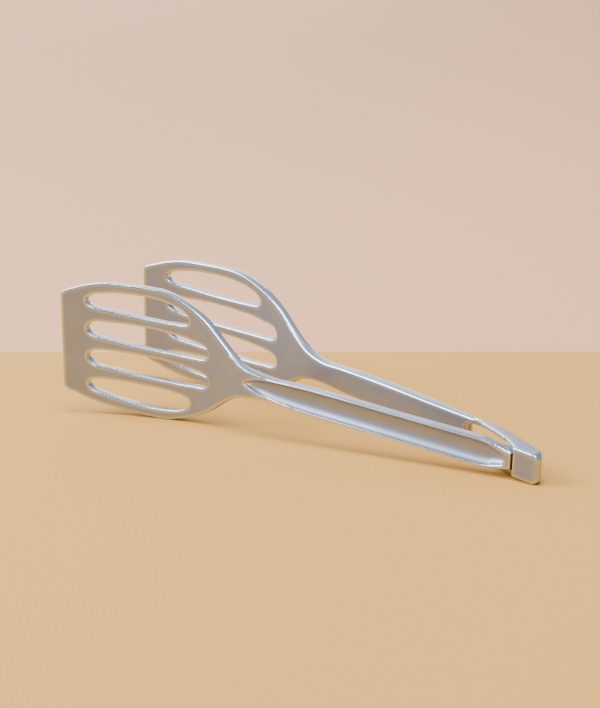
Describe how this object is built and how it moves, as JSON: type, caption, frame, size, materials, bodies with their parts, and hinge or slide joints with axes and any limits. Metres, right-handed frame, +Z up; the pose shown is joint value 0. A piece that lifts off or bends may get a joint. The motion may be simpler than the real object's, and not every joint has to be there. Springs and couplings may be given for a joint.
{
  "type": "serving tongs",
  "caption": "Hinged turning tongs: slotted spatula blades on slim channel handles, sprung open at a box hinge.",
  "frame": {"origin": "centre of the bounding box's bottom face, on the surface the tongs rest on", "axes": "+X along the tongs from the blades to the hinge, +Y towards the housing arm, +Z up, with the tongs standing on edge"},
  "size_m": [0.3026, 0.081, 0.0758],
  "materials": {
    "cast_aluminium": "satin tumbled casting with polished edges",
    "pin_steel": "smooth turned steel",
    "spring_steel": "drawn spring wire"
  },
  "bodies": {
    "housing": {"housing_arm": "cast_aluminium", "hinge_pin": "pin_steel", "return_spring": "spring_steel"},
    "tail": {"tail_arm": "cast_aluminium"}
  },
  "joints": [
    {"name": "tongs_hinge", "type": "hinge", "parent": "housing", "child": "tail", "pos_m": [0.13856, 0.00117, 0.00834], "axis": [-0.1246, 0, -0.9922], "range_deg": [0, 12.2], "stiffness_Nm_per_rad": 3, "springref_deg": -5.16, "deforming": ["return_spring"]}
  ]
}
